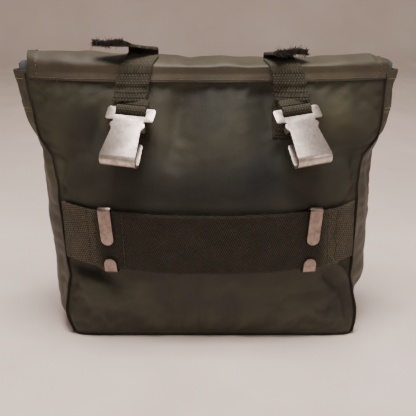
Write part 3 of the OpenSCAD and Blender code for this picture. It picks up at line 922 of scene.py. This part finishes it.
def strap_bases():
    """The lower end of each hook's strap, sewn to the back and cut off below."""
    w, foot_z, off = STRAP_W + 1.5, 178.5, 0.3
    u, z, edge, thick = strap_grid(w, foot_z, 203.5, 65, 80)
    for side in ("left", "right"):
        name = side + "_strap_base"
        t = place(STRAP_X[side] + u, z)
        outer, inner = surface(t, z, off + thick + weave(u, z) * edge), surface(t, z, off)
        # Painted shadow: the strap bases are toned darker than the hook loops, and painted shade
        # darkens the gaps between the yarns
        tone = 0.24 + 0.06 * edge + 0.66 * beads(u, z)
        thing = strap(name, "bag", outer, inner, u, z, tone)
        parts = []
        for at in (181, 184):
            parts += cross_stitches(STRAP_X[side], w, at, off + WEB + 0.2, 0.33)
        foot = STRAP_X[side] + np.linspace(-STRAP_W / 2, STRAP_W / 2, 20)
        cut = surface(place(foot, foot_z + 0.1), foot_z + 0.1, 1.0)
        parts += frayed(cut, (0, -0.4, -1), 90, 2.4, 61, 0.12, 0.45)
        sewn = thread(name + "_stitches", parts, "bag", "webbing", "frayed_thread")


# ---- Flap ----

FLAP_HEM_Z, HINGE_Z, ROOT_Z = 92, 232.5, 221.5
FLAP_OFF, CROWN, ROOT_SCALE = 3, 8, 40
FLAP_SHARE = ((92, 0.86), (138, 0.885), (172, 0.925), (200, 0.94), (228, 0.945))
# How far the crown of the flap stands above or below its even height, from left to right
CROWN_RISE = ((-154, 0.2), (-144, 1.6), (-122, 0.8), (-101, 0.6), (-77, -1.4), (-43, -2.6),
              (-26, -3.4), (-15, -6.4), (-6, -4.6), (13, -3.6), (42, -5.8), (90, -5.0),
              (114, -2.6), (138, -1.0), (146, -4.6), (153, -6.6))
FLAP_FOLDS = (
    (-60, 190, 70, 10, 12, -1.8), (50, 180, 60, 9, -16, -1.8), (0, 150, 120, 14, 0, -1.2),
    (-100, 130, 40, 8, 34, -1.8), (104, 126, 40, 8, -30, -1.8), (10, 205, 50, 12, 88, 1.0),
)


def crown_rise(x):
    """The crown's unevenness at a distance from the middle."""
    return np.interp(x, *zip(*CROWN_RISE)) + 0.35 * ripple(x, 0 * x, 17, 71)


def flap_point(u, v, off):
    """v below 0 runs down the root, 0 to 1 goes over the crown and 1 to 2 down the front."""
    u, v, off = np.broadcast_arrays(np.asarray(u, float), v, off)
    over = np.clip(v, 0, 1)
    a = math.pi * over
    s = 0.4 + (FLAP_OFF - 0.4) * over + off
    drawn_in = np.where(u < 0, 0.957, 0.972)                # narrower than the mouth below it
    drawn_in = drawn_in + (1 - drawn_in) * np.clip(v - 1, 0, 1)
    reach = lookup(MOUTH_Z, FLAP_SHARE) * drawn_in
    wide, deep = lookup(MOUTH_Z, HALF_WIDTH) + s, lookup(MOUTH_Z, HALF_DEPTH) + s
    x, y = wide * u * reach, deep * partner(u * reach, MOUTH_Z)
    rise = crown_rise(x) * np.sin(a) ** 1.2
    loose = 0.5 * ripple(x, v * 28, 26, 72) * ease((v + 0.3) / 0.5)
    top = HINGE_Z + (CROWN + off) * np.sin(a) + rise + loose
    crowned = xyz(x, -y * np.cos(a), top)
    z = HINGE_Z + (FLAP_HEM_Z - HINGE_Z) * np.clip(v - 1, 0, 1)
    q = np.minimum(z, MOUTH_Z)
    share = lookup(q, FLAP_SHARE) * drawn_in
    s = FLAP_OFF + off
    front_x = (lookup(q, HALF_WIDTH) + s) * u * share
    fold = folds(front_x, z, FLAP_FOLDS) + 0.4 * ripple(front_x, z, 30, 73)
    fold *= ease((v - 1) / 0.15) * ease((2 - v) / 0.1)
    front_y = (lookup(q, HALF_DEPTH) + s + np.maximum(fold, -1.8)) * partner(u * share, q)
    front = xyz(front_x, front_y, z)
    drop = np.minimum(v, 0) * ROOT_SCALE                     # millimetres below the hinge line
    root_z = HINGE_Z + drop
    q = np.minimum(root_z, MOUTH_Z)
    root_y, near = surface(place(x, q), q, 0.4 + off)[..., 1], ease(1 + drop / 4)
    root = xyz(x, crowned[..., 1] * near + root_y * (1 - near), root_z)
    points = np.where((v < 0)[..., None], root, np.where((v > 1)[..., None], front, crowned))
    return leaning(points)


ROOT_V = (ROOT_Z - HINGE_Z) / ROOT_SCALE


def bending(name, mesh, slot, replaces):
    """A piece across the flap's hinge line between the bag and the flap, tied to neither body and
    with its transform baked in.
    """
    thing = piece(name, mesh, None, slot, replaces)
    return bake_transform(thing)


def flap():
    """The flap in two sheets: its root and crown, across the hinge line, and the stiff front."""
    u = np.linspace(-1, 1, 300)[None]
    v = np.concatenate([np.linspace(ROOT_V, 0, 14)[:-1], np.linspace(0, 1, 40)])[:, None]
    end_hem = ease((np.abs(u) - 0.945) / 0.008)
    outer, inner = flap_point(u, v, CANVAS + 0.6 * end_hem), flap_point(u, v, 0)
    # Painted shade: darker along the root's lower edge over the back and over the crown
    painted_flap_shade = np.exp(-((v - ROOT_V) * ROOT_SCALE / 1.6) ** 2)
    painted_flap_shade = painted_flap_shade + 0.3 * ease((v + 0.1) / 0.35) * ease((1.2 - v) / 0.4)
    tone = (1 - 0.5 * painted_flap_shade - 0.12 * end_hem) * (1 + 0.04 * ripple(u * 150, v * 28, 20, 74))
    mesh = shell("flap_top", outer, inner, tone=tone * np.ones(outer.shape[:2]))
    top = bending("flap_top_cloth", mesh, "flap_canvas", ["flap_root", "flap"])
    x = np.linspace(-0.985, 0.985, 260)
    seam = flap_point(x, ROOT_V + 1.9 / ROOT_SCALE, CANVAS + 0.1)
    seam[:, 2] += 0.35 * ripple(seam[:, 0], 0 * x, 14, 76)
    row = stitch_row(seam, (0, -1, 0.1), 2.6, 2.0, 0.27)
    for end in (-0.952, 0.952):
        line = flap_point(end, np.linspace(ROOT_V + 0.08, 0.95, 50), CANVAS + 0.65)
        row += stitch_row(line, (0, -0.7, 0.7), 3.4, 1.9, 0.36)
    hem = flap_point(x, ROOT_V + 0.4 / ROOT_SCALE, CANVAS * 0.6)
    row += frayed(hem, (0, -0.5, -0.4), 260, 1.3, 75, 0.09, 0.7)
    sewn = thread("flap_seam_stitches", row, "bag", "flap_canvas", "seam_thread")

    v = np.linspace(0.965, 2, 74)[:, None]
    outer, inner = flap_point(u[:, ::2], v, CANVAS - 0.25), flap_point(u[:, ::2], v, -0.2)
    mesh = shell("flap_front", outer, inner)
    front = piece("flap_front_cloth", mesh, "flap", "flap_canvas", ["flap"])


BINDING = 11 / 140


def flap_tapes():
    """The tapes that bind the flap's hem and sides."""
    def tape(name, us, vs, node):
        u, v = np.broadcast_arrays(us[None], vs[:, None])
        mesh = shell(name, flap_point(u, v, CANVAS + 1.0), flap_point(u, v, CANVAS + 0.2))
        thing = piece(name, mesh, "flap", "binding_tape", [node])

    tape("flap_hem_tape", np.linspace(-1, 1, 240), np.linspace(2 - BINDING, 2, 10), "flap_hem")
    rows, down = [], np.linspace(1.04, 1.9, 60)
    for side, ends in (("left", (-1, BINDING - 1)), ("right", (1 - BINDING, 1))):
        tape(f"flap_{side}_binding", np.linspace(*ends, 8), down, "flap_side_bindings")
        line = flap_point(np.linspace(*ends, 3)[1], down, CANVAS + 1.1)
        rows += stitch_row(line, (0, 1, 0))
    line = flap_point(np.linspace(-0.99, 0.99, 120), 2 - BINDING * 0.6, CANVAS + 1.1)
    rows += stitch_row(line, (0, 1, 0))
    thread("flap_tape_stitches", rows, "flap", "binding_tape", "olive_thread")


def crown_point(x, a, off):
    """Over the flap's crown at a distance x from the middle: 0 is the rear and 90 the top."""
    a = np.radians(a)
    wide = lookup(MOUTH_Z, HALF_WIDTH) + 0.4 + off
    y = (lookup(MOUTH_Z, HALF_DEPTH) + 0.4 + off) * partner(x / wide, MOUTH_Z)
    rise = crown_rise(x) * np.sin(a) ** 1.2
    return leaning(xyz(x, -y * np.cos(a), HINGE_Z + (CROWN + off) * np.sin(a) + rise))


COVER_LOW, COVER_HIGH, COVER_FOOT, LOOSE = 207.8, 229, 4.5, 18
COVER_STITCHES = (210.5, 214, 219.5)
# For each cover strap: x at its foot and on the crown, sideways drift, inner radius of the fold and
# rise of the loose end, slant of the fold in degrees, and seed
COVERS = (("left", -61, -53, -26, 2.3, 3.6, 22, 81), ("right", 67.5, 60, 9, 1.6, 0.8, -20, 82))


def cover_straps():
    """The strap from the hook up over the back of the flap, with its cut end folded back on top."""
    w, seat = STRAP_W + 1, CANVAS + 0.9
    above = seat + 0.9 - COVER_FOOT                          # from the foot's offset to the hinge's
    u, z, edge, thick = strap_grid(w, COVER_LOW, COVER_HIGH, 56, 80)
    u, edge, thick = u[:1], edge[:1], thick[:1]
    f = (z - COVER_LOW) / (COVER_HIGH - COVER_LOW)
    b = np.radians(np.linspace(9, 180, 20))[:, None]
    s = np.linspace(0.04, 1, 50)[:, None]
    fray = ease((s - 0.72) / 0.2)
    for side, x_low, x_top, skew, turn, rise, tilt, seed in COVERS:
        name = side + "_cover_strap"
        # The fold lies aslant: one edge turns back before it reaches the top
        early = 0.5 + math.copysign(1, tilt) * u / w
        a = 8 + (82 - abs(tilt) * early) * np.linspace(0, 1, 64)[:, None]
        drift = x_low + (x_top - x_low) * 0.45 * f
        shift = x_low + (x_top - x_low) * (0.45 + 0.55 * ease(a / 70))
        over_v = COVER_HIGH + 0.3 * a
        v = np.concatenate([z, over_v, COVER_HIGH + 27 + 3 * b + 0 * u,
                            COVER_HIGH + 36 + LOOSE * s + 0 * u])
        grids = []
        for k in (0, 1):
            off = COVER_FOOT + above * f + k * (thick + weave(u, z))
            low = surface(place(drift + u, z), z, off)
            over = crown_point(shift + u, a, seat + k * (thick + weave(u, over_v)))
            base = over[-1] + np.array([0, 0, turn + WEB * (1 - k)])
            q = turn + (1 - k) * thick
            bend = base + xyz(0.0, q * np.sin(b), -q * np.cos(b))
            lift = (rise * s ** 1.5 + 2.0 * early * s + 0.7 * np.sin(u / 4 + seed) * s ** 2
                    + (1.0 - 1.6 * k) * fray)
            end = bend[-1] + xyz(skew * s, -LOOSE * s * (1 + 0.05 * np.sin(u / 3.1)), lift)
            grids.append(np.concatenate([low, over, bend, end]))
        inner, outer = grids
        # Painted light and shade: darker between the yarns and along the stitch lines, lighter
        # where the strap lies over the top of the crown
        tone = (0.38 + 0.1 * edge + 1.0 * beads(u, v)) * (0.9 + 0.2 * ease((v - 229) / 6))
        for at in COVER_STITCHES:
            tone = tone * (1 - 0.5 * np.exp(-((v - at) / 0.7) ** 2))
        tone = tone * (1 - 0.75 * ease((v - v[-1, 0] + 6) / 4))
        mesh = shell(name, outer, inner, cloth=xyz(u, v, 0.0), tone=tone)
        thing = bending(name + "_webbing", mesh, "webbing", [name, side + "_strap_tail"])
        rows = []
        for at in COVER_STITCHES:
            f_at = (at - COVER_LOW) / (COVER_HIGH - COVER_LOW)
            x = x_low + (x_top - x_low) * 0.45 * f_at
            rows += cross_stitches(x, w, at, COVER_FOOT + above * f_at + WEB + 0.15, 0.3)
        rows += frayed(outer[0], (0, 0.1, -1), 110, 1.2, seed, 0.11, 0.5)
        sewn = thread(name + "_stitches", rows, "bag", "webbing", "frayed_thread")
        strands = []
        for level, row in enumerate((outer[-1], (outer[-1] + inner[-1]) / 2, inner[-1])):
            strands += frayed(row, (skew / 60, -1, 0.1), 400, 2.1, seed + 5 + level, 0.22, 0.7)
        tip = thread(side + "_strap_tail_fringe", strands, "flap", "webbing", "cut_thread")


# ---- Snap tabs on the front ----

SNAP_X, SNAP_Z = 76, 80


def closure_tabs():
    """The webbing tabs that hold the flap down with a snap each."""
    u, z, edge, thick = strap_grid(STRAP_W, SNAP_Z - 14, 140, 120, 42)
    off = FLAP_OFF + CANVAS + 0.4 + (0.6 + 0.7 * ease((z - 86) / 5))
    for sign, side in ((-1, "left"), (1, "right")):
        name, x = side + "_closure_tab", sign * SNAP_X + u
        outer, inner = [leaning(on_skin(x, z, out, FRONT))
                        for out in (off + thick + weave(u, z) * edge, off)]
        thing = strap(name, "flap", outer, inner, u, z)
        rows, x = [], sign * SNAP_X + np.linspace(-11, 11, 16)
        for at in (104, 136):
            line = on_skin(x, at, off[0, 0] + 0.7 + WEB + 0.2, FRONT)
            rows += stitch_row(leaning(line), (0, 1, 0))
        sewn = thread(name + "_stitches", rows, "flap", "webbing", "olive_thread")


def snaps():
    """Looks for the snaps: a worn black cap outside, brass-coloured metal for the rest."""
    cap = Look("black_snap", Metallic=0.6, Base_Color=rgb(44, 42, 36))
    wear = cap.noise(cap.node("TexCoord").outputs["Object"], 420.0, 4.0, 0.7)
    colour = cap.mix(cap.spread(wear, 0.55, 0.75), rgb(38, 36, 31), rgb(98, 92, 78))
    black = cap.done(colour, cap.spread(wear, 0.3, 0.7, 0.32, 0.55), cap.bump(wear, 0.04, 0.6))
    brass = aluminium_look("snap_metal", rgb(176, 158, 112), rgb(120, 104, 72), 0.35)
    for side in ("left", "right"):
        for part, look in (("snap_cap", black), ("snap_socket", brass), ("snap_stud", brass)):
            rounded(f"{side}_{part}", look, 0.25)


# ---- Stage ----

STAGE_STEPS, BACKDROP_RISE = 260, 960


def stage():
    """A pale cloth on the table, loosely folded further back, with painted shade that darkens it
    there.
    """
    look = Look("linen", Roughness=0.9, Specular_IOR_Level=0.15)
    at = look.node("TexCoord").outputs["Object"]
    far = look.node("SeparateXYZ", {0: at}).outputs[1]
    near = look.mix(look.spread(look.noise(at, 9.0, 3.0), 0.3, 0.7), rgb(224, 206, 197),
                    rgb(240, 224, 216))
    # Painted shade: the cloth further back is coloured darker, as if it got less light
    back = look.mix(look.spread(look.noise(at, 4.0, 3.0), 0.3, 0.7), rgb(216, 197, 187),
                    rgb(230, 212, 202))
    colour = look.mix(look.spread(far, 0.06, 0.5), near, back)
    linen = look.done(colour, None, look.bump(look.noise(at, 700.0, 4.0, 0.7), 0.25, 0.5))
    x = np.linspace(-2400, 2400, STAGE_STEPS)[None]
    y = np.linspace(-2200, 2400, STAGE_STEPS)[:, None]
    away = ease((np.hypot(x, y) - 230) / 260)
    waves = 7 * ripple(x + 0.2 * y, 0.25 * y + 0 * x, 190, 91) + 2.5 * ripple(x, y, 70, 92)
    z = away * (7 + waves) * ease((y + 40) / 200)
    z = z + BACKDROP_RISE * ease((y - 1500) / 900) ** 2
    grid = xyz(x, y, z - 0.3)
    mesh = new_mesh("stage", grid.reshape(-1, 3), quads(STAGE_STEPS, STAGE_STEPS))
    mesh.materials.append(linen)
    cloth = added("stage_cloth", mesh)


# Name, place, aim, size, power and colour
AREA_LIGHTS = (
    ("overhead", (-0.02, -0.12, 1.25), (0, -0.02, 0), 0.6, 25, (1.0, 0.92, 0.86)),
    ("front", (-0.45, -1.2, 0.8), (0, 0, 0.1), 0.6, 1.4, (1.0, 0.91, 0.85)),
    ("right", (1.1, -0.7, 0.7), (0, 0, 0.1), 0.6, 2.4, (1.0, 0.91, 0.85)),
)


def lights():
    for name, at, aim, size, power, colour in AREA_LIGHTS:
        data = bpy.data.lights.new(name, "AREA")
        data.size, data.energy, data.color = size, power, colour
        light = added(name, data)
        light.location = at
        light.rotation_euler = (Vector(aim) - Vector(at)).to_track_quat("-Z", "Y").to_euler()
    world = bpy.data.worlds.new("world")
    world.use_nodes = True
    background = world.node_tree.nodes["Background"].inputs
    background["Color"].default_value = (0.72, 0.63, 0.57, 1)
    background["Strength"].default_value = 0.34
    bpy.context.scene.world = world


stuffed()
body_panels()
base_panel()
welts()
gusset_stitches()
mouth_facing()
dust_ears()
back_band()
metal_parts()
hook_loops()
strap_bases()
flap()
flap_tapes()
cover_straps()
closure_tabs()
snaps()
stage()
lights()
